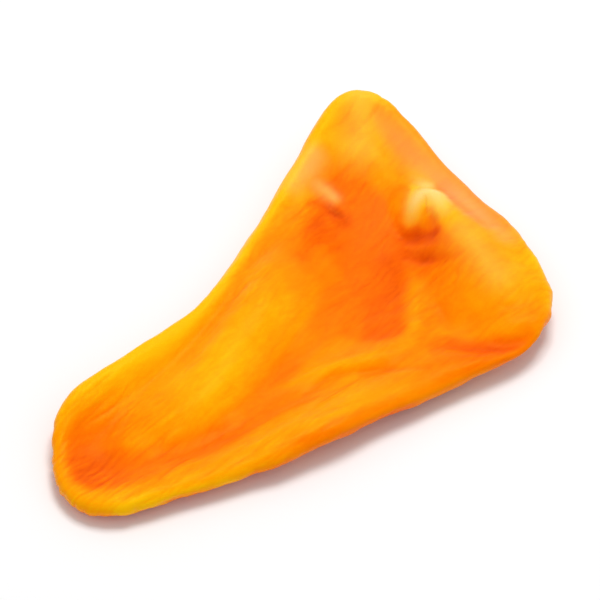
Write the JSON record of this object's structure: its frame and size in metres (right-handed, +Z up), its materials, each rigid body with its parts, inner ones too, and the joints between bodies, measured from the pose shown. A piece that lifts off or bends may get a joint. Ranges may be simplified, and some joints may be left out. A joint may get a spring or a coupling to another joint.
{
  "type": "dried mango slice",
  "caption": "Long curled slice of dried mango: a raised back edge with a broad fold beside it, a shallow valley, a rolled front edge and a puckered lobe along the broad end.",
  "frame": {"origin": "middle of the slice's bounding box, at the level of the surface it lies on", "axes": "+X along the slice towards its broad end, +Y across it towards the raised back edge, +Z up from the surface it lies on"},
  "size_m": [0.0986, 0.0632, 0.0124],
  "materials": {
    "flesh": "leathery dried fruit, golden yellow on the ridges and rims and deep orange in the hollows, with a soft satin gloss"
  },
  "bodies": {
    "root": {"mango_slice": "flesh"}
  },
  "joints": []
}
